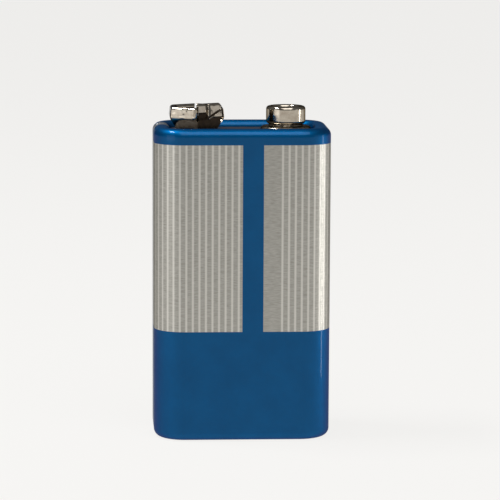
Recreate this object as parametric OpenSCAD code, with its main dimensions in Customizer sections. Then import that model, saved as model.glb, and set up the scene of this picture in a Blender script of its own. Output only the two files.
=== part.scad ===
// Nine volt battery of the layer type: a printed steel jacket curled over two end boards,
// a snap stud and a six-petal snap socket on the top board, and a stack of six flat cells.
// Millimetres. The origin is the centre of the foot, +Z is up and -Y is the printed front.
// The stud stands on the +X side and the socket on the -X side.

/* [Jacket] */
// Width of the jacket, along the line of the two terminals
case_w = 25.5; // [25.1:0.1:26.5]
// Depth of the jacket, front to back
case_d = 16.4; // [15.5:0.1:17.5]
// Height from the foot to the crown of the top curl
case_h = 45.1; // [44:0.1:46]
// Radius of the four upright corners
corner_r = 4.5; // [3.8:0.1:5.2]
// Thickness of the jacket's sheet
sheet_t = 0.25; // [0.2:0.01:0.3]
// Outer radius of the bend from a wall to an end
shoulder_r = 1.15; // [0.9:0.05:1.3]
// Flat run on the crown of each curled end, the part that is stood on
crown_flat = 0.3; // [0.2:0.05:0.5]
// Outer radius of the curl that comes down on a board
curl_r = 1; // [0.8:0.05:1.1]
// Depth from a crown to the outer face of its board
rim_depth = 0.95; // [0.8:0.05:1.2]

/* [Seam] */
// Distance of the seam's open edge behind the middle of the -X side
seam_y = 2; // [0:0.1:3]
// Width of the lap that lies under the seam
lap_w = 3.4; // [2:0.1:4]
// Width of the groove along the open edge
seam_gap = 0.16; // [0.1:0.02:0.3]
// Depth of that groove
seam_depth = 0.12; // [0.08:0.01:0.16]

/* [Print] */
// Height of the lower edge of the silver field
field_low = 16; // [14:0.1:20]
// Height of the blue band over the silver field, with the top's shoulder
band_h = 2.2; // [1.6:0.1:6]
// Distance from the middle to the left edge of the blue stripe
stripe_x = -0.2; // [-4:0.1:4]
// Width of the blue stripe
stripe_w = 3; // [1:0.1:5]

/* [Boards and sleeve] */
// Thickness of the top and bottom boards
board_t = 1; // [0.8:0.05:1.2]
// Wall of the card sleeve round the stack
sleeve_t = 0.4; // [0.3:0.05:0.5]
// Gap between the jacket's lap and what stands inside it
fit_gap = 0.1; // [0.05:0.01:0.2]

/* [Terminals] */
// Radius of the stud's head
stud_r = 2.86; // [2.8:0.01:2.9]
// Height of the stud above the board
stud_h = 3.65; // [3.3:0.05:3.8]
// Gap between the stud's brim and the jacket's curl, which sets the terminals' distance
brim_gap = 0.12; // [0.1:0.01:0.3]
// How far the brim stands out from the head
brim_w = 0.845; // [0.8:0.005:0.9]
// Height of the brim
brim_h = 0.78; // [0.7:0.02:0.9]
// How far the neck stands in from the head
neck_in = 0.4; // [0.3:0.01:0.45]
// Outer radius of the rolled lip round the dish
lip_r = 0.45; // [0.4:0.01:0.5]
// Thickness of the stud's sheet
stud_t = 0.28; // [0.22:0.01:0.32]
// Distance from the axis to the socket's flat sides, where they are widest
socket_r = 3.92; // [3.8:0.02:4.04]
// Height of the socket above the board
socket_h = 3.65; // [3.4:0.05:3.8]
// Thickness of the socket's sheet
petal_t = 0.28; // [0.22:0.01:0.32]
// Height of that widest place above the board
wide_z = 2.3; // [2.1:0.05:2.5]
// Lean of the petals out from upright, below their widest place, in degrees
petal_lean = 32; // [26:1:36]
// Lean of the petals back in, above it, in degrees
petal_in = 6; // [2:1:10]
// Outer radius of the roll at a petal's tip
petal_roll = 0.48; // [0.44:0.01:0.5]
// Width of the slots between petals
slot_w = 0.26; // [0.2:0.02:0.4]
// Height of the slots' lower ends above the board
slot_z = 1.9; // [1.5:0.05:2.1]
// Radius of the rivets' shanks
rivet_r = 1.05; // [0.9:0.05:1.15]
// Radius of the rivets' heads
rivet_head_r = 1.7; // [1.5:0.05:1.75]
// Thickness of the rivets' tube wall
rivet_t = 0.25; // [0.2:0.01:0.3]

/* [Leads] */
// Thickness of the lead and contact strips
lead_t = 0.2; // [0.15:0.01:0.25]
// Width of the negative lead
lead_w = 5; // [4:0.1:6]
// Width of the positive contact
contact_w = 7; // [5:0.1:9]
// Thickness of the insulating card on top of the stack
card_t = 0.4; // [0.3:0.05:0.6]

/* [Cells] */
// Room above the stack for the contact spring
contact_room = 5; // [4.5:0.1:6]
// Room at each end of a cell for the lead to pass
lead_room = 0.45; // [0.4:0.05:0.6]
// Room in front of a cell and behind it
side_room = 0.2; // [0.1:0.05:0.3]
// Thickness of the film wrapped round a cell's edge
film_t = 0.12; // [0.1:0.01:0.15]
// Width of the film's lips over the cell's two faces
lip_w = 1.6; // [1.2:0.1:2]
// Thickness of a zinc plate
zinc_t = 0.5; // [0.4:0.05:0.6]
// Thickness of the paper tray between zinc and mix
paper_t = 0.25; // [0.2:0.01:0.3]
// Height of the tray's walls above the zinc
tray_h = 2.2; // [1.6:0.1:3]

/* [Hidden] */
$fn = 72;
// Six cells of one and a half volts make nine
cells = 6;
CELL_NODES = [for (i = [1 : cells], part = ["film", "zinc", "paper", "mix"]) str("cell_", i, "_", part)];

ink_blue = [0.02, 0.26, 0.47];
ink_silver = [0.62, 0.61, 0.58];
nickel = [0.78, 0.77, 0.74];

// Running gap between a rivet and the holes that it passes
rivet_gap = 0.05;
hole_r = rivet_r + rivet_gap;
// Fillet between a rivet's tube and its head, small enough to pass the holes' edges
rivet_fillet = rivet_gap - 0.01;
// What stands inside the jacket keeps clear of the doubled sheet at the lap
liner_inset = 2 * sheet_t + fit_gap;
sleeve_inset = liner_inset + sleeve_t;
field_high = case_h - band_h;
top_face = case_h - rim_depth;
board_under = top_face - board_t;
floor_z = rim_depth + board_t;
stack_z = floor_z + lead_t;
stack_top = board_under - contact_room;
cell_h = (stack_top - stack_z) / cells;
room_w = case_w - 2 * sleeve_inset;
room_d = case_d - 2 * sleeve_inset;
cell_w = room_w - 2 * lead_room;
cell_d = room_d - 2 * side_room;
cell_r = corner_r - sleeve_inset - side_room;
// Play round the layers inside a cell's film
cell_gap = 0.05;
zinc_z = film_t + zinc_t;
// Gap between a strip's upright run and the sleeve, and the place of that run
lead_gap = 0.05;
lead_x = room_w / 2 - lead_gap - lead_t / 2;
// How far the strips' leaves run past a rivet, and where their feet end
leaf_reach = 2.8;
lead_foot = 8;
contact_foot = 5;
contact_bend = 0.6;

// The stud's brim nearly meets the curl, and the terminals stand at the same distance from it
neck_r = stud_r - neck_in;
brim_r = stud_r + brim_w;
pitch = case_w - 2 * (shoulder_r + crown_flat + curl_r + brim_gap + brim_r);
// Bends of the stud's sheet, at mid-sheet, and the dish inside its lip
brim_bend = 0.42;
neck_bend = 0.3;
swell_turn = 70;
dish_run = 0.1;
dish_bend = 0.3;
dish_z = stud_h - lip_r - dish_run - dish_bend + stud_t / 2;
dish_floor_r = stud_r - 2 * lip_r + stud_t / 2 - dish_bend;

// Bends of the socket's petals, at mid-sheet, and the heading of their tips after the roll
foot_bend = 0.45;
petal_shoulder = 0.85;
tip_heading = 265;
slot_end_r = 0.24;
mitre_lap = 0.02;
// Largest turn between two points of a folded outline, in degrees
fold_step = 10;
// The one bent petal: its direction, how far it stands up, from what run, and its extra reach
bent_turn = 300;
bent_angle = 12;
bent_run = 0.7;
bent_rise = 0.5;
far = 2 * case_w;
// Straight start of each curled end, inside the wall's own height
end_run = 0.6;

// Wedge that opens anticlockwise from straight down by a given angle
module wedge(angle, reach) {
    steps = ceil(angle / 45);
    polygon(concat([[0, 0]], [for (i = [0 : steps])
        reach * [sin(angle * i / steps), -cos(angle * i / steps)]]));
}

// Bend to the left of a sheet that comes in along +X
module bend(angle, radius, t) {
    translate([0, radius]) intersection() {
        difference() {
            circle(radius + t / 2);
            circle(radius - t / 2);
        }
        wedge(angle, 2 * (radius + t));
    }
}

// Section of a folded sheet. Each step is [straight run, turn, bend radius at mid-sheet],
// and a positive turn is to the left. The sheet starts at the origin along +X.
module folded(steps, t, i = 0) {
    if (i < len(steps)) {
        run = steps[i][0];
        turn = steps[i][1];
        radius = steps[i][2];
        side = turn < 0 ? 1 : 0;
        if (run > 0) translate([0, -t / 2]) square([run, t]);
        translate([run, 0]) {
            if (turn != 0) mirror([0, side]) bend(abs(turn), radius, t);
            mirror([0, side]) translate([0, radius]) rotate(abs(turn)) translate([0, -radius])
                mirror([0, side]) folded(steps, t, i + 1);
        }
    }
}

// Left-hand normal of a heading
function normal(heading) = [-sin(heading), cos(heading)];

// Points down one side of the same kind of folded sheet, at a distance to its left
function fold_side(steps, off, at = [0, 0], heading = 0, i = 0) = i == len(steps) ? [] :
    let (run = steps[i][0], turn = steps[i][1], radius = steps[i][2] * sign(turn))
    let (start = at + run * [cos(heading), sin(heading)])
    let (centre = start + radius * normal(heading), cuts = ceil(abs(turn) / fold_step))
    concat(
        [at + off * normal(heading)],
        [for (k = [0 : cuts]) centre + (off - radius) * normal(heading + turn * k / max(cuts, 1))],
        fold_side(steps, off, centre - radius * normal(heading + turn), heading + turn, i + 1)
    );

// The folded section as one outline, for bends at any angle
module fold_outline(steps, t) {
    there = fold_side(steps, -t / 2);
    back = fold_side(steps, t / 2);
    polygon(concat(there, [for (k = [len(back) - 1 : -1 : 0]) back[k]]));
}

// Rectangle with round corners, centred
module rounded_rect(w, d, r) {
    square([w, d - 2 * r], center = true);
    square([w - 2 * r, d], center = true);
    for (x = [-1, 1], y = [-1, 1])
        translate([x * (w / 2 - r), y * (d / 2 - r)]) circle(r);
}

// Outline of the jacket's plan, drawn in by an inset
module plan(inset) {
    rounded_rect(case_w - 2 * inset, case_d - 2 * inset, corner_r - inset);
}

// Sweeps a section round the jacket. The section's x is counted out from a corner's centre.
module round_jacket() {
    long = case_w / 2 - corner_r;
    short = case_d / 2 - corner_r;
    for (k = [0 : 3]) rotate(90 * k)
        translate([k % 2 == 0 ? long : short, k % 2 == 0 ? short : long, 0]) {
            rotate([90, 0, 0]) linear_extrude(2 * (k % 2 == 0 ? short : long)) children();
            rotate_extrude(angle = 90) children();
        }
}

// Section of the top end, from the top of the wall over the crown and down to the board.
// It fills the skin from above the outer surface to below it.
module curl_section(above, below) {
    t = above + below;
    mid = (below - above) / 2;
    difference() {
        translate([corner_r - mid, case_h - shoulder_r - end_run]) rotate(90) folded([
            [end_run, 90, shoulder_r - mid],
            [crown_flat, 90, curl_r - mid],
            [rim_depth, 0, 0]
        ], t);
        translate([corner_r - shoulder_r - far, top_face - far]) square(far);
    }
}

// The same section at the foot
module foot_section(above, below) {
    translate([0, case_h]) mirror([0, 1]) curl_section(above, below);
}

// A stretch of the jacket's upright wall
module wall(low, high) {
    translate([0, 0, low]) linear_extrude(high - low) difference() {
        plan(0);
        plan(sheet_t);
    }
}

// The blue stripe's place on the front of the wall
module stripe() {
    translate([stripe_x, -far, 0]) cube([stripe_w, far, case_h]);
}

// Groove along the lap's open edge, up the -X wall and over both curls
module seam_groove() {
    translate([corner_r - case_w / 2, seam_y + seam_gap, 0]) rotate([90, 0, 0])
        linear_extrude(seam_gap) mirror([1, 0]) {
            translate([corner_r - seam_depth, shoulder_r])
                square([1 + seam_depth, case_h - 2 * shoulder_r]);
            curl_section(1, seam_depth);
            foot_section(1, seam_depth);
        }
}

// One printed sheet: its side seam is lapped inside and both ends are curled in on the boards
module jacket() {
    shoulder = case_h - shoulder_r;
    difference() {
        union() {
            color(ink_blue) {
                round_jacket() curl_section(0, sheet_t);
                round_jacket() foot_section(0, sheet_t);
                wall(shoulder_r, field_low);
                wall(field_high, shoulder);
                intersection() {
                    wall(field_low, field_high);
                    stripe();
                }
            }
            color(ink_silver) difference() {
                wall(field_low, field_high);
                stripe();
            }
            color(ink_silver) translate([sheet_t / 2 - case_w / 2, seam_y - lap_w, shoulder_r])
                cube([1.5 * sheet_t, lap_w + 2 * sheet_t, shoulder - shoulder_r]);
        }
        seam_groove();
    }
}

module positive_place() {
    translate([pitch / 2, 0, top_face]) children();
}

module negative_place() {
    translate([-pitch / 2, 0, top_face]) children();
}

// Both boards are plain stamped plates
module board() {
    linear_extrude(board_t) plan(liner_inset);
}

module top_board() {
    color([0.1, 0.08, 0.07]) difference() {
        translate([0, 0, board_under]) board();
        for (x = [-pitch / 2, pitch / 2])
            translate([x, 0, board_under - 1]) cylinder(r = hole_r, h = board_t + 2);
    }
}

module bottom_board() {
    color([0.1, 0.08, 0.07]) translate([0, 0, rim_depth]) board();
}

// The stud is one drawn shell: brim, neck, head, rolled lip and a dished floor with a hole
module positive_stud() {
    mid = stud_t / 2;
    swell_r = (stud_r - neck_r) / (2 * (1 - cos(swell_turn)));
    head_run = stud_h - lip_r - brim_h + mid - neck_bend - 2 * swell_r * sin(swell_turn);
    color(nickel) positive_place() rotate_extrude() translate([brim_r - mid, 0]) rotate(90) folded([
        [brim_h - mid - brim_bend, 90, brim_bend],
        [brim_r - neck_r - brim_bend - neck_bend, -90, neck_bend],
        [0, -swell_turn, swell_r],
        [0, swell_turn, swell_r],
        [head_run, 180, lip_r - mid],
        [dish_run, -90, dish_bend],
        [dish_floor_r - hole_r, 0, 0]
    ], stud_t);
}

// A tubular rivet: a head on a seat, a tube through the board and a clinched foot below the lead
module rivet(seat, head_r) {
    turn_r = rivet_t / 2 + rivet_fillet;
    foot = -board_t - lead_t;
    reach = rivet_r - rivet_t / 2 + turn_r;
    color(nickel) rotate_extrude() translate([head_r, seat + rivet_t / 2]) rotate(180) folded([
        [head_r - reach, 90, turn_r],
        [seat - foot + rivet_t - 2 * turn_r, 90, turn_r],
        [rivet_head_r - reach, 0, 0]
    ], rivet_t);
}

module positive_rivet() {
    positive_place() rivet(dish_z, dish_floor_r - fit_gap);
}

module negative_rivet() {
    negative_place() rivet(petal_t, rivet_head_r);
}

// Section of one petal, from the axis along the floor, out to its widest place, up and over
// its rolled tip. A bent petal stands up straighter, by an angle, and reaches higher.
module petal_section(straighten, rise) {
    mid = petal_t / 2;
    lean = 90 - petal_lean;
    rim = 90 + petal_in;
    roll = petal_roll - mid;
    low_run = (wide_z - mid - foot_bend * (1 - cos(lean)) - petal_shoulder * cos(lean)) / sin(lean);
    high_run = (socket_h - mid - wide_z + petal_shoulder * cos(rim) - roll * (1 + cos(rim))) / sin(rim);
    floor_run = socket_r - mid - foot_bend * sin(lean) - low_run * cos(lean)
        - petal_shoulder * (1 - sin(lean));
    translate([0, mid]) fold_outline([
        [floor_run, lean, foot_bend],
        [bent_run, straighten, petal_shoulder],
        [low_run - bent_run, rim - lean - straighten, petal_shoulder],
        [high_run + rise, tip_heading - rim, roll]
    ], petal_t);
}

// One sixth of the socket's cup, mitred to its neighbours
module petal(straighten, rise) {
    side = socket_r * tan(30) * 1.5;
    intersection() {
        rotate([90, 0, 0]) linear_extrude(2 * side, center = true) petal_section(straighten, rise);
        translate([0, 0, -1]) linear_extrude(socket_h + 3)
            polygon([[-mitre_lap, 0], [1.5 * socket_r, -side], [1.5 * socket_r, side]]);
    }
}

// The slot between two petals, with a round lower end
module slot() {
    translate([socket_r / 2, -slot_w / 2, slot_z]) cube([socket_r, slot_w, socket_h]);
    translate([socket_r / 2, 0, slot_z]) rotate([0, 90, 0]) cylinder(r = slot_end_r, h = socket_r);
}

// The socket is one drawn and slit cup: six sprung petals with their tips rolled in.
// The petal on the front right has been bent up.
module negative_socket() {
    color(nickel) negative_place() difference() {
        for (k = [0 : 5]) rotate(60 * k)
            petal(60 * k == bent_turn ? bent_angle : 0, 60 * k == bent_turn ? bent_rise : 0);
        for (k = [0 : 5]) rotate(60 * k + 30) slot();
        translate([0, 0, -1]) cylinder(r = hole_r, h = petal_t + 2);
    }
}

// Card tube that carries the pressure of the two curls from board to board
module stack_sleeve() {
    color([0.72, 0.62, 0.45]) translate([0, 0, floor_z]) linear_extrude(board_under - floor_z)
        difference() {
            plan(liner_inset);
            plan(sleeve_inset);
        }
}

// Strip folded under the stack, up the -X side and in under the top board
module negative_lead() {
    bend_r = lead_room - lead_gap - lead_t / 2;
    color([0.75, 0.75, 0.73]) difference() {
        translate([lead_foot, lead_w / 2, floor_z + lead_t / 2]) rotate([90, 0, 0])
            linear_extrude(lead_w) rotate(180) folded([
                [lead_foot + lead_x - bend_r, -90, bend_r],
                [board_under - floor_z - lead_t - 2 * bend_r, -90, bend_r],
                [lead_x - bend_r - pitch / 2 + leaf_reach, 0, 0]
            ], lead_t);
        translate([-pitch / 2, 0, board_under - 1]) cylinder(r = hole_r, h = 2);
    }
}

// Spring contact folded up from the top cell and back in under the stud
module positive_contact() {
    color([0.75, 0.75, 0.73]) difference() {
        translate([-contact_foot, contact_w / 2, stack_top + lead_t / 2]) rotate([90, 0, 0])
            linear_extrude(contact_w) folded([
                [contact_foot + lead_x - contact_bend, 90, contact_bend],
                [board_under - stack_top - lead_t - 2 * contact_bend, 90, contact_bend],
                [lead_x - contact_bend - pitch / 2 + leaf_reach, 0, 0]
            ], lead_t);
        translate([pitch / 2, 0, board_under - 1]) cylinder(r = hole_r, h = 2);
    }
}

// Card that keeps the negative lead and its rivet off the positive contact
module insulating_card() {
    reach = lead_x - lead_t / 2 - contact_bend - fit_gap;
    color([0.8, 0.72, 0.55]) translate([0, 0, stack_top + lead_t])
        linear_extrude(card_t) rounded_rect(2 * reach, cell_d, cell_r);
}

// Puts a piece of one cell at its height in the stack, counted from the foot
module in_cell(i) {
    translate([0, 0, stack_z + (i - 1) * cell_h]) children();
}

// A flat layer with a cell's outline, drawn in by an inset
module layer(inset, low, high) {
    translate([0, 0, low]) linear_extrude(high - low)
        rounded_rect(cell_w - 2 * inset, cell_d - 2 * inset, cell_r - inset);
}

// Film shrunk round a cell's edge, with lips over both faces
module cell_film(i) {
    color([0.86, 0.84, 0.76]) in_cell(i) difference() {
        layer(0, 0, cell_h);
        layer(film_t, film_t, cell_h - film_t);
        layer(lip_w, -1, cell_h + 1);
    }
}

// Zinc plate with a carbon coat that stands out through the film's lower window
module cell_zinc(i) {
    color([0.55, 0.57, 0.6]) in_cell(i) {
        layer(film_t + cell_gap, film_t, zinc_z);
        layer(lip_w + cell_gap, 0, film_t);
    }
}

// Tray of paste paper that holds the mix off the zinc
module cell_paper(i) {
    color([0.88, 0.83, 0.7]) in_cell(i) difference() {
        layer(film_t + cell_gap, zinc_z, zinc_z + tray_h);
        layer(film_t + cell_gap + paper_t, zinc_z + paper_t, zinc_z + tray_h + 1);
    }
}

// Pressed cake of mix that stands out through the film's upper window
module cell_mix(i) {
    color([0.12, 0.12, 0.12]) in_cell(i) {
        layer(film_t + paper_t + 2 * cell_gap, zinc_z + paper_t, cell_h - film_t);
        layer(lip_w + cell_gap, cell_h - film_t, cell_h);
    }
}

jacket();
top_board();
bottom_board();
positive_stud();
positive_rivet();
negative_socket();
negative_rivet();
stack_sleeve();
negative_lead();
positive_contact();
insulating_card();
for (i = [1 : cells]) {
    cell_film(i);
    cell_zinc(i);
    cell_paper(i);
    cell_mix(i);
}
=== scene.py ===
"""Nine volt battery: the finish of every piece, the camera, the floor and the light."""
import math
import bpy
from mathutils import Matrix, Vector


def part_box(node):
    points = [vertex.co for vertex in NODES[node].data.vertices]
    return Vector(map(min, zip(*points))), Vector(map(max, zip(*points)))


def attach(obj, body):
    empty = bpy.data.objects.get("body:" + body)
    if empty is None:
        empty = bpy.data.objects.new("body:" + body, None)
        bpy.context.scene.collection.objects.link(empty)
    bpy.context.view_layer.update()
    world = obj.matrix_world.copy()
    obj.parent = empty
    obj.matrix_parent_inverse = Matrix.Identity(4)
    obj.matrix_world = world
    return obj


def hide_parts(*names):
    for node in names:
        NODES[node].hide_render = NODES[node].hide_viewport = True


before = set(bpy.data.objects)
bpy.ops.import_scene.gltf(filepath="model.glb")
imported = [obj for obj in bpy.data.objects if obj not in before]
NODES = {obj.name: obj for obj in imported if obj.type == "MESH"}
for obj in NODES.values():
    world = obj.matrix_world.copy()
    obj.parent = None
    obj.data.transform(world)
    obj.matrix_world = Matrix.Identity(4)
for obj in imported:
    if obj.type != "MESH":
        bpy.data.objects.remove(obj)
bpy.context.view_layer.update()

MM = 0.001
CELLS = 6

# The jacket's sizes, in millimetres, as the construction has them.
JACKET_LOW, JACKET_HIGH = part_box("jacket")
CASE_W, CASE_D, CASE_H = [(JACKET_HIGH[i] - JACKET_LOW[i]) / MM for i in range(3)]
CORNER_R = 4.5
SHEET_T = 0.25
SHOULDER_R = 1.15
CROWN_FLAT = 0.3
CURL_R = 1.0
RIM_DEPTH = 0.95
SEAM_Y = 2.0
SEAM_GAP = 0.16
SEAM_DEPTH = 0.12
TOP_FACE = CASE_H - RIM_DEPTH
STRAIGHT_X = CASE_W / 2 - CORNER_R
STRAIGHT_Y = CASE_D / 2 - CORNER_R
CORNER_ARC = math.pi / 2 * CORNER_R

# The jacket's mesh: how close its columns stand, how many pieces each bend and wall has, and
# the columns added at the seam. The sheet sinks a little beside the seam, over a short run.
COLUMN_STEP = 0.3
BEND_PIECES = 14
WALL_PIECES = 60
SEAM_COLUMNS = (-0.14, -0.08, -0.079, 0.079, 0.08, 0.14)
SINK_DEPTH = 0.05
SINK_RUN = 1.5

# Print: heights, and places counted round the jacket from the middle of its front.
FIELD_LOW = 15.96
FIELD_HIGH = 42.87
STRIPE = (-0.15, 2.85)
PLAIN_END = 5.2
LINE_PITCH = 0.94
LINE_LEFT = -4.45
LINE_RIGHT = 5.55
LINE_W = 0.3
LINE_SHARE = 0.7
PRINT_EDGE = 0.06
BARE_W = 3.4
BARE_SHIFT = 0.6
BARE_EDGE = 0.1

# The terminals: their distance from the middle, and the socket's bent petal with its turn, the
# folds across it, and dents in the socket as point, reach and depth.
SNAP_X = 6.475
BENT_TURN = 300
FOLD_Z = TOP_FACE + 2.2
FOLD_SLOPE = 0.5
FOLD_RUN = 0.35
FOLD_TILT = 0.3
FOLD_ACROSS = (-0.2, 1.9)
GROOVE_W = 0.16
GROOVE_DEPTH = 0.05
LEAN_START = 0.3
LEAN_RUN = 1.1
LEAN_TILT = 0.4
LEAN_ACROSS = (-2.4, -0.5)
SOCKET_DENTS = (
    ((-8.37, -3.3, 47.25), 0.75, 0.08),
    ((-9.6, -2.4, 46.7), 0.6, 0.04),
    ((-3.4, -1.9, 46.9), 0.7, 0.05),
    ((-6.9, 3.5, 46.9), 0.8, 0.05),
    ((-5.2, -3.4, 46.3), 0.6, 0.06),
)

# The photograph's camera, found from the battery's outline and print edges.
CAMERA_TURN = -3.36
CAMERA_PITCH = 8.16
CAMERA_ROLL = 0.26
CAMERA_DISTANCE = 412.7
CAMERA_AIM = (-1.37, 26.68)
FOCAL_PX = 2829.4
FRAME_PX = 500
SENSOR = 36

# The floor's colour and reach in metres, and how much of it shows as a plain glow.
FLOOR_PALE = (243, 242, 240)
FLOOR_REACH = 4.0
FLOOR_GLOW = 1.02
FLOOR_SHARE = 0.92

# Room light, and the lamps: name, azimuth from the front towards the right, elevation,
# distance, size and glow. The strip stands close by and shows in reflections only.
ROOM_COLOUR = (0.78, 0.79, 0.8, 1)
ROOM_STRENGTH = 0.2
LAMPS = (
    ("key", -95, 62, 0.5, (0.2, 0.07), 40),
    ("fill", 10, 60, 0.5, (0.4, 0.4), 2.6),
    ("window", -57, 9, 0.5, (0.3, 0.24), 1.1),
    ("wall", 66, 12, 0.5, (0.2, 0.14), 0.6),
)
STRIP_LAMP = ("strip", 84.5, 0, 0.06, (0.004, 0.06), 10.5)


def srgb(r, g, b):
    """A colour given as it shows on a screen, 0 to 255, as Blender's linear colour."""
    def channel(v):
        v /= 255
        return v / 12.92 if v <= 0.04045 else ((v + 0.055) / 1.055) ** 2.4
    return (channel(r), channel(g), channel(b), 1.0)


def make_camera():
    """Places the photograph's camera."""
    turn, pitch, roll = [math.radians(a) for a in (CAMERA_TURN, CAMERA_PITCH, CAMERA_ROLL)]
    ahead = Vector((-math.sin(turn) * math.cos(pitch), math.cos(turn) * math.cos(pitch), -math.sin(pitch)))
    right = Vector((math.cos(turn), math.sin(turn), 0))
    up = right.cross(ahead)
    place = Vector((0, 0, CAMERA_AIM[1])) - ahead * CAMERA_DISTANCE - right * CAMERA_AIM[0]
    side = right * math.cos(roll) + up * math.sin(roll)
    top = up * math.cos(roll) - right * math.sin(roll)
    data = bpy.data.cameras.new("camera")
    data.sensor_width = SENSOR
    data.lens = FOCAL_PX / FRAME_PX * SENSOR
    data.clip_start = 0.01
    data.clip_end = 20
    camera = bpy.data.objects.new("camera", data)
    turned = Matrix((side, top, -ahead)).transposed().to_4x4()
    camera.matrix_world = Matrix.Translation(place * MM) @ turned
    bpy.context.scene.collection.objects.link(camera)
    bpy.context.scene.camera = camera


class Nodes:
    """A material's node tree, with short calls for the nodes that the finishes use."""

    def __init__(self, name):
        self.material = bpy.data.materials.new(name)
        self.material.use_nodes = True
        self.tree = self.material.node_tree
        self.shader = self.tree.nodes["Principled BSDF"]

    def add(self, kind, **values):
        node = self.tree.nodes.new(kind)
        for key, value in values.items():
            setattr(node, key, value)
        return node

    def link(self, source, target):
        """Joins a socket or sets a number on a target socket."""
        if isinstance(source, (int, float, tuple)):
            target.default_value = source
        else:
            self.tree.links.new(source, target)

    def set(self, **values):
        """Sets the shader's own sockets, named with underscores for spaces."""
        for key, value in values.items():
            self.link(value, self.shader.inputs[key.replace("_", " ")])

    def math(self, kind, a, b=0.0, c=0.0):
        node = self.add("ShaderNodeMath", operation=kind)
        for socket, value in zip(node.inputs, (a, b, c)):
            self.link(value, socket)
        return node.outputs[0]

    def step(self, value, edge, soft):
        """0 below an edge and 1 above it, over a soft width."""
        node = self.add("ShaderNodeMapRange", interpolation_type="SMOOTHSTEP")
        for name, number in (("From Min", edge - soft / 2), ("From Max", edge + soft / 2)):
            node.inputs[name].default_value = number
        self.link(value, node.inputs["Value"])
        return node.outputs["Result"]

    def inverse(self, value):
        """1 less a value."""
        return self.math("SUBTRACT", 1.0, value)

    def band(self, value, start, end, soft):
        """1 between two edges."""
        return self.math("MULTIPLY", self.step(value, start, soft), self.inverse(self.step(value, end, soft)))

    def clamped(self, value, top):
        """A value held between 0 and a top."""
        return self.math("MINIMUM", self.math("MAXIMUM", value, 0.0), top)

    def along(self, at, direction, start=0.0):
        """Distance along a level direction, counted from a start."""
        part = self.math("MULTIPLY_ADD", at["X"], direction[0], start)
        return self.math("MULTIPLY_ADD", at["Y"], direction[1], part)

    def mix(self, factor, a, b):
        node = self.add("ShaderNodeMix", data_type="RGBA")
        self.link(factor, node.inputs["Factor"])
        for value, socket in ((a, node.inputs[6]), (b, node.inputs[7])):
            self.link(value, socket)
        return node.outputs[2]

    def blend(self, factor, a, b):
        """The same for plain numbers."""
        node = self.add("ShaderNodeMix", data_type="FLOAT")
        self.link(factor, node.inputs["Factor"])
        for value, socket in ((a, node.inputs[2]), (b, node.inputs[3])):
            self.link(value, socket)
        return node.outputs[0]

    def place(self, stretch=(1, 1, 1)):
        """The point in millimetres, stretched along each axis."""
        coords = self.add("ShaderNodeTexCoord")
        node = self.add("ShaderNodeMapping")
        node.inputs["Scale"].default_value = [s / MM for s in stretch]
        self.link(coords.outputs["Object"], node.inputs["Vector"])
        return node.outputs["Vector"]

    def split(self):
        """The point's X, Y and Z in millimetres."""
        node = self.add("ShaderNodeSeparateXYZ")
        self.link(self.place(), node.inputs[0])
        return node.outputs

    def noise(self, scale, stretch=(1, 1, 1), detail=3.0, roughness=0.5):
        node = self.add("ShaderNodeTexNoise")
        node.inputs["Scale"].default_value = scale
        node.inputs["Detail"].default_value = detail
        node.inputs["Roughness"].default_value = roughness
        self.link(self.place(stretch), node.inputs["Vector"])
        return node.outputs["Fac"]

    def ranged(self, value, low_out, high_out, low_in=0.3, high_in=0.7):
        """Spreads a value between two numbers."""
        node = self.add("ShaderNodeMapRange")
        for name, number in (("From Min", low_in), ("From Max", high_in),
                             ("To Min", low_out), ("To Max", high_out)):
            node.inputs[name].default_value = number
        self.link(value, node.inputs["Value"])
        return node.outputs["Result"]

    def bump(self, height, distance):
        """Bump of a height from 0 to 1, over a distance in millimetres."""
        node = self.add("ShaderNodeBump")
        node.inputs["Distance"].default_value = distance * MM
        self.link(height, node.inputs["Height"])
        self.link(node.outputs["Normal"], self.shader.inputs["Normal"])

    def near(self, point, reach):
        """1 at a point given in millimetres, falling to 0 at a reach from it."""
        node = self.add("ShaderNodeVectorMath", operation="DISTANCE")
        self.link(self.place(), node.inputs[0])
        node.inputs[1].default_value = point
        return self.inverse(self.step(node.outputs["Value"], reach / 2, reach))


def pinstripes(n, around):
    """The pale lines on the silver, on both sides of the stripe."""
    def lines(first):
        phase = n.math("DIVIDE", n.math("SUBTRACT", around, first), LINE_PITCH)
        offset = n.math("ABSOLUTE", n.math("SUBTRACT", n.math("FRACT", n.math("ADD", phase, 0.5)), 0.5))
        return n.inverse(n.step(offset, LINE_W / 2 / LINE_PITCH, 0.16))

    left = n.math("MULTIPLY", lines(LINE_LEFT), n.inverse(n.step(around, STRIPE[0], PRINT_EDGE)))
    right = n.math("MULTIPLY", lines(LINE_RIGHT), n.step(around, PLAIN_END, PRINT_EDGE))
    return n.math("ADD", left, right)


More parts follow.
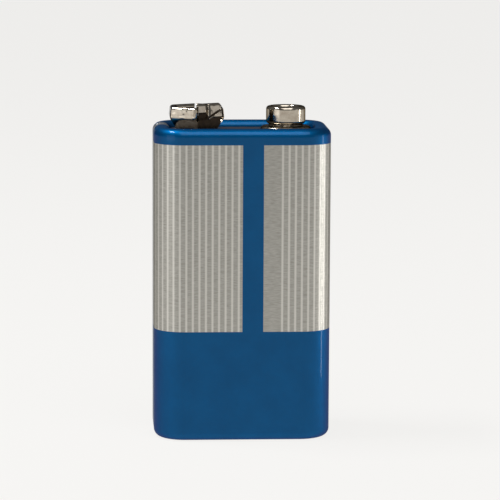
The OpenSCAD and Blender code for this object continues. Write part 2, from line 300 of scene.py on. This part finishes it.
def printed_sheet():
    """Tin plate under blue and silver ink and a clear varnish."""
    n = Nodes("jacket_print")
    around = n.add("ShaderNodeAttribute", attribute_name="around").outputs["Fac"]
    field = n.band(n.split()["Z"], FIELD_LOW, FIELD_HIGH, PRINT_EDGE)
    silver = n.math("MULTIPLY", field, n.inverse(n.band(around, *STRIPE, PRINT_EDGE)))
    grain = n.noise(9, (0.12, 0.12, 1), 4)
    metal = n.mix(n.ranged(grain, 0, 1), srgb(156, 154, 146), srgb(186, 183, 176))
    pale = n.math("MULTIPLY", pinstripes(n, around), LINE_SHARE)
    metal = n.mix(pale, metal, srgb(226, 223, 215))
    blue = n.mix(n.ranged(n.noise(0.25), 0, 1), srgb(0, 80, 130), srgb(1, 86, 138))
    bare_centre = seam_place() - SEAM_GAP / 2 + BARE_SHIFT
    bare = n.band(around, bare_centre - BARE_W / 2, bare_centre + BARE_W / 2, BARE_EDGE)
    n.set(Base_Color=n.mix(bare, n.mix(silver, blue, metal), srgb(186, 190, 196)))
    shine = n.math("MAXIMUM", silver, bare)
    n.set(Metallic=n.blend(shine, 0.93, 0.97), Specular_IOR_Level=0.2)
    n.set(Roughness=n.math("ADD", n.blend(shine, 0.5, 0.38), n.ranged(n.noise(1.6), -0.03, 0.03)))
    n.set(Coat_Weight=0.12, Coat_Roughness=0.03, Coat_IOR=1.8)
    n.set(Specular_Tint=n.mix(shine, srgb(30, 100, 150), srgb(120, 120, 114)))
    n.bump(n.math("ADD", n.math("MULTIPLY", grain, 0.5), n.noise(0.35)), 0.007)
    return n.material


def nickel(name, wave, scratch, dents=()):
    """Bright nickel plate, wavy from the press, scratched, and darker down by the board: partly grime, partly
    painted shade and a painted reflection of the dark board.
    """
    n = Nodes(name)
    haze = n.noise(1.4, detail=5)
    at = n.split()
    # Painted shade: the base colour darkens and roughens near the board, standing partly for grime and partly
    # for the board's shade and dark reflection there.
    low = n.inverse(n.step(at["Z"], TOP_FACE + 0.8, 1.2))
    grime_and_shade = n.math("MULTIPLY", low, n.ranged(n.noise(2.2, detail=6), 0, 1, 0.35, 0.6))
    clean = n.mix(n.ranged(haze, 0, 1), srgb(164, 153, 138), srgb(188, 179, 165))
    n.set(Base_Color=n.mix(n.math("MULTIPLY", grime_and_shade, 0.75), clean, srgb(44, 36, 26)), Metallic=1.0)
    n.set(Roughness=n.math("ADD", n.ranged(haze, 0.05, 0.13), n.math("MULTIPLY", grime_and_shade, 0.3)))
    n.set(Specular_Tint=srgb(110, 104, 94))
    height = n.math("MULTIPLY", n.noise(0.7, detail=1), wave)
    height = n.math("MULTIPLY_ADD", n.noise(4, (2, 2, 0.15), 4), scratch, height)
    for point, reach, depth in dents:
        height = n.math("MULTIPLY_ADD", n.near(point, reach), -depth, height)
    if dents:
        height = n.math("ADD", height, crease(n, at))
    n.bump(height, 1.0)
    return n.material


def crease(n, at):
    """Height of the folds across the socket's bent petal, counted in millimetres."""
    turn = math.radians(BENT_TURN)
    ahead = (math.cos(turn), math.sin(turn))
    sideways = (-ahead[1], ahead[0])
    across = n.along(at, sideways, sideways[0] * SNAP_X)
    on_petal = n.math("GREATER_THAN", n.along(at, ahead), 0.0)
    rise = n.math("SUBTRACT", at["Z"], FOLD_Z)
    off = n.math("SUBTRACT", rise, n.math("MULTIPLY", across, FOLD_SLOPE))
    groove = n.inverse(n.step(n.math("ABSOLUTE", off), GROOVE_W / 2, GROOVE_W))
    fold = n.math("MULTIPLY", n.clamped(off, FOLD_RUN), FOLD_TILT)
    right = n.math("MULTIPLY_ADD", groove, -GROOVE_DEPTH, fold)
    right = n.math("MULTIPLY", right, n.band(across, *FOLD_ACROSS, 0.9))
    lean = n.math("MULTIPLY", n.clamped(n.math("ADD", rise, LEAN_START), LEAN_RUN), LEAN_TILT)
    left = n.math("MULTIPLY", lean, n.band(across, *LEAN_ACROSS, 0.5))
    return n.math("MULTIPLY", on_petal, n.math("ADD", left, right))


def fibre_board():
    """Dark pressed board, mottled and slightly waxed."""
    n = Nodes("board")
    mottle = n.noise(1.2, detail=6, roughness=0.65)
    n.set(Base_Color=n.mix(n.ranged(mottle, 0, 1), srgb(20, 15, 13), srgb(58, 47, 38)))
    n.set(Roughness=n.ranged(mottle, 0.35, 0.6), Specular_IOR_Level=0.4)
    n.bump(mottle, 0.05)
    return n.material


def plain(name, dark, light, scale, rough, metallic=0.0):
    """A mottled finish for the pieces inside."""
    n = Nodes(name)
    mottle = n.noise(scale, detail=5)
    n.set(Base_Color=n.mix(n.ranged(mottle, 0, 1), dark, light), Metallic=metallic)
    n.set(Roughness=n.ranged(mottle, rough - 0.05, rough + 0.05))
    n.bump(mottle, 0.012)
    return n.material


def seam_place():
    """The seam's place round the jacket, counted to the left from the middle of the front."""
    return -(STRAIGHT_X + CORNER_ARC + STRAIGHT_Y + SEAM_Y)


def round_plan():
    """Stations round the jacket, and the whole length round it. Each station is a base point
    with no corner radius, an outward heading, and its distance from the middle of the front."""
    x, y = STRAIGHT_X, STRAIGHT_Y
    sides = (((-x, -y), (x, -y), -90), ((x, -y), (x, y), 0), ((x, y), (-x, y), 90), ((-x, y), (-x, -y), 180))
    stations = []
    at = -x
    for start, end, heading in sides:
        length = math.dist(start, end)
        cuts = round(length / COLUMN_STEP)
        for k in range(cuts):
            t = k / cuts
            base = (start[0] + (end[0] - start[0]) * t, start[1] + (end[1] - start[1]) * t)
            stations.append((base, heading, at + length * t))
        at += length
        cuts = round(CORNER_ARC / COLUMN_STEP)
        for k in range(cuts):
            stations.append((end, heading + 90 * k / cuts, at + CORNER_ARC * k / cuts))
        at += CORNER_ARC
    return stations, at + x


def seamed_plan():
    """The stations with more of them at the seam, the length round, and the seam's place."""
    stations, length = round_plan()
    seam = seam_place() + length
    side_start = 3 * STRAIGHT_X + 2 * STRAIGHT_Y + 3 * CORNER_ARC
    for offset in SEAM_COLUMNS:
        base = (-STRAIGHT_X, STRAIGHT_Y - (seam + offset - side_start))
        stations.append((base, 180, seam + offset))
    stations.sort(key=lambda s: s[2])
    return stations, length, seam


def sheet_section():
    """The jacket's section as (inset, height) pairs, up the outside and back down the inside,
    and how many of them are outside."""
    def arc(centre, radius, start, end):
        angles = [math.radians(start + (end - start) * k / BEND_PIECES) for k in range(BEND_PIECES + 1)]
        return [(centre[0] + radius * math.cos(a), centre[1] + radius * math.sin(a)) for a in angles]

    def end_run(skin):
        radius = CURL_R - skin
        stop = math.degrees(math.asin(max(0, CURL_R - RIM_DEPTH) / radius))
        return (arc((SHOULDER_R, CASE_H - SHOULDER_R), SHOULDER_R - skin, 180, 90)
                + arc((SHOULDER_R + CROWN_FLAT, CASE_H - CURL_R), radius, 90, stop))

    def whole(skin):
        top = end_run(skin)
        foot = [(x, CASE_H - z) for x, z in reversed(top)]
        low, high = foot[-1][1], top[0][1]
        wall = [(skin, low + (high - low) * k / WALL_PIECES) for k in range(1, WALL_PIECES)]
        return foot + wall + top

    outside = whole(0)
    inside = whole(SHEET_T)
    return outside + list(reversed(inside)), len(outside)


def inward(inset, z):
    """Direction into the sheet at a point of its outer surface, as (inset, height)."""
    if z > CASE_H / 2:
        x, y = inward(inset, CASE_H - z)
        return (x, -y)
    if z >= SHOULDER_R and inset <= 0.001:
        return (1, 0)
    if inset <= SHOULDER_R:
        return ((SHOULDER_R - inset) / SHOULDER_R, (SHOULDER_R - z) / SHOULDER_R)
    if inset <= SHOULDER_R + CROWN_FLAT:
        return (0, 1)
    return ((SHOULDER_R + CROWN_FLAT - inset) / CURL_R, (CURL_R - z) / CURL_R)


def seam_sink(from_seam):
    """How deep the outer surface lies under its plain form, at a distance from the seam."""
    if abs(from_seam) < SEAM_GAP / 2 - 0.0005:
        return SEAM_DEPTH
    if from_seam < -SEAM_GAP / 2:
        return SINK_DEPTH * max(0, 1 + from_seam / SINK_RUN)
    return 0


def jacket_points(stations, seam, section, outer_count):
    """The jacket's points, column by column."""
    points = []
    for base, heading, at in stations:
        out = (math.cos(math.radians(heading)), math.sin(math.radians(heading)))
        depth = seam_sink(at - seam)
        for i, (inset, z) in enumerate(section):
            reach = CORNER_R - inset
            if i < outer_count:
                across = inward(inset, z)
                reach -= depth * across[0]
                z += depth * across[1]
            points.append(((base[0] + out[0] * reach) * MM, (base[1] + out[1] * reach) * MM, z * MM))
    return points


def ring_faces(columns, rows):
    """Faces between neighbouring columns, closed both round the jacket and round its section."""
    faces = []
    for c in range(columns):
        d = (c + 1) % columns
        for r in range(rows):
            s = (r + 1) % rows
            faces.append((c * rows + r, d * rows + r, d * rows + s, c * rows + s))
    return faces


def mark_around(mesh, stations, length, rows):
    """Writes each face corner's distance round the jacket, left of the front as negative."""
    places = []
    for c, (_, _, here) in enumerate(stations):
        there = stations[c + 1][2] if c + 1 < len(stations) else stations[0][2] + length
        shift = length if (here + there) / 2 > length / 2 else 0
        places += [here - shift, there - shift, there - shift, here - shift] * rows
    mesh.attributes.new("around", "FLOAT", "CORNER").data.foreach_set("value", places)


def smooth_sheet(mesh, rows, outer_count):
    """Shades the sheet smooth, apart from the two cut edges of its section."""
    for face in mesh.polygons:
        face.use_smooth = True
    sharp = {outer_count - 1, outer_count, rows - 1, 0}
    for edge in mesh.edges:
        a, b = [v % rows for v in edge.vertices]
        if a == b and a in sharp:
            edge.use_edge_sharp = True


def make_jacket():
    """The printed sheet as one closed mesh, with its seam and a trace of unevenness."""
    stations, length, seam = seamed_plan()
    section, outer_count = sheet_section()
    rows = len(section)
    mesh = bpy.data.meshes.new("jacket_sheet")
    points = jacket_points(stations, seam, section, outer_count)
    mesh.from_pydata(points, [], ring_faces(len(stations), rows))
    mesh.update()
    mark_around(mesh, stations, length, rows)
    smooth_sheet(mesh, rows, outer_count)
    mesh.materials.append(printed_sheet())
    jacket = bpy.data.objects.new("printed_jacket", mesh)
    bpy.context.scene.collection.objects.link(jacket)
    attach(jacket, "root")
    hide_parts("jacket")


def dress(node, material):
    """Gives a CAD node its finish."""
    data = NODES[node].data
    if not data.materials:
        data.materials.append(material)
    for i in range(len(data.materials)):
        data.materials[i] = material


def dress_ends():
    """The finishes of the boards, the terminals and their rivets."""
    metal = nickel("nickel", 0.02, 0.006)
    board = fibre_board()
    for node in ("positive_stud", "positive_rivet", "negative_rivet"):
        dress(node, metal)
    dress("negative_socket", nickel("nickel_bent", 0.1, 0.004, SOCKET_DENTS))
    for node in ("top_board", "bottom_board"):
        dress(node, board)


def dress_inside():
    """The finishes of the stack, its sleeve and its leads."""
    strip = plain("tinned_strip", srgb(165, 165, 160), srgb(200, 200, 196), 1.0, 0.3, 1.0)
    dress("negative_lead", strip)
    dress("positive_contact", strip)
    dress("stack_sleeve", plain("sleeve_card", srgb(176, 152, 112), srgb(200, 178, 138), 0.8, 0.85))
    dress("insulating_card", plain("insulating_card", srgb(196, 176, 136), srgb(220, 202, 166), 0.8, 0.85))
    kinds = {
        "film": plain("cell_film", srgb(212, 206, 186), srgb(230, 226, 210), 0.6, 0.35),
        "zinc": plain("zinc", srgb(120, 124, 130), srgb(160, 164, 170), 1.5, 0.45, 1.0),
        "paper": plain("paste_paper", srgb(214, 202, 170), srgb(232, 222, 196), 2.0, 0.9),
        "mix": plain("mix", srgb(18, 18, 18), srgb(44, 43, 42), 3.0, 0.9),
    }
    for i in range(1, CELLS + 1):
        for kind, material in kinds.items():
            dress(f"cell_{i}_{kind}", material)


def floor_finish():
    """A pale surface that the camera and bright metal see at the background's colour."""
    pale = srgb(*FLOOR_PALE)
    n = Nodes("floor")
    n.set(Base_Color=pale, Roughness=0.9, Specular_IOR_Level=0.0)
    path = n.add("ShaderNodeLightPath")
    seen = n.math("MAXIMUM", path.outputs["Is Camera Ray"], path.outputs["Is Glossy Ray"])
    seen = n.math("MAXIMUM", seen, path.outputs["Is Transmission Ray"])
    glow = n.add("ShaderNodeEmission")
    n.link(pale, glow.inputs["Color"])
    n.link(FLOOR_GLOW, glow.inputs["Strength"])
    both = n.add("ShaderNodeMixShader")
    n.link(n.math("MULTIPLY", seen, FLOOR_SHARE), both.inputs[0])
    n.link(n.shader.outputs[0], both.inputs[1])
    n.link(glow.outputs[0], both.inputs[2])
    n.link(both.outputs[0], n.tree.nodes["Material Output"].inputs["Surface"])
    return n.material


def make_floor():
    """One wide level floor at the battery's foot."""
    far = FLOOR_REACH
    mesh = bpy.data.meshes.new("floor")
    mesh.from_pydata([(-far, -far, 0), (far, -far, 0), (far, far, 0), (-far, far, 0)], [], [(0, 1, 2, 3)])
    mesh.materials.append(floor_finish())
    floor = bpy.data.objects.new("floor", mesh)
    bpy.context.scene.collection.objects.link(floor)


def make_lamp(name, azimuth, elevation, distance, size, glow):
    """A soft box aimed at the battery. A glow of 1 looks white where it is reflected."""
    data = bpy.data.lights.new(name, "AREA")
    data.shape = "RECTANGLE"
    data.size, data.size_y = size
    data.energy = glow * math.pi * size[0] * size[1]
    turn, tilt = math.radians(azimuth), math.radians(elevation)
    away = Vector((math.sin(turn) * math.cos(tilt), -math.cos(turn) * math.cos(tilt), math.sin(tilt)))
    lamp = bpy.data.objects.new(name, data)
    lamp.location = Vector((0, 0, CASE_H / 2 * MM)) + away * distance
    lamp.rotation_euler = (-away).to_track_quat("-Z", "Y").to_euler()
    bpy.context.scene.collection.objects.link(lamp)
    return lamp


def make_light():
    """Even room light, the lamps, and the strip that only reflections show."""
    world = bpy.data.worlds.new("room")
    bpy.context.scene.world = world
    world.use_nodes = True
    room = world.node_tree.nodes["Background"]
    room.inputs["Color"].default_value = ROOM_COLOUR
    room.inputs["Strength"].default_value = ROOM_STRENGTH
    for lamp in LAMPS:
        make_lamp(*lamp)
    strip = make_lamp(*STRIP_LAMP)
    strip.visible_diffuse = False
    strip.visible_camera = False


make_camera()
make_jacket()
dress_ends()
dress_inside()
make_floor()
make_light()
bpy.context.scene.view_settings.view_transform = "Standard"
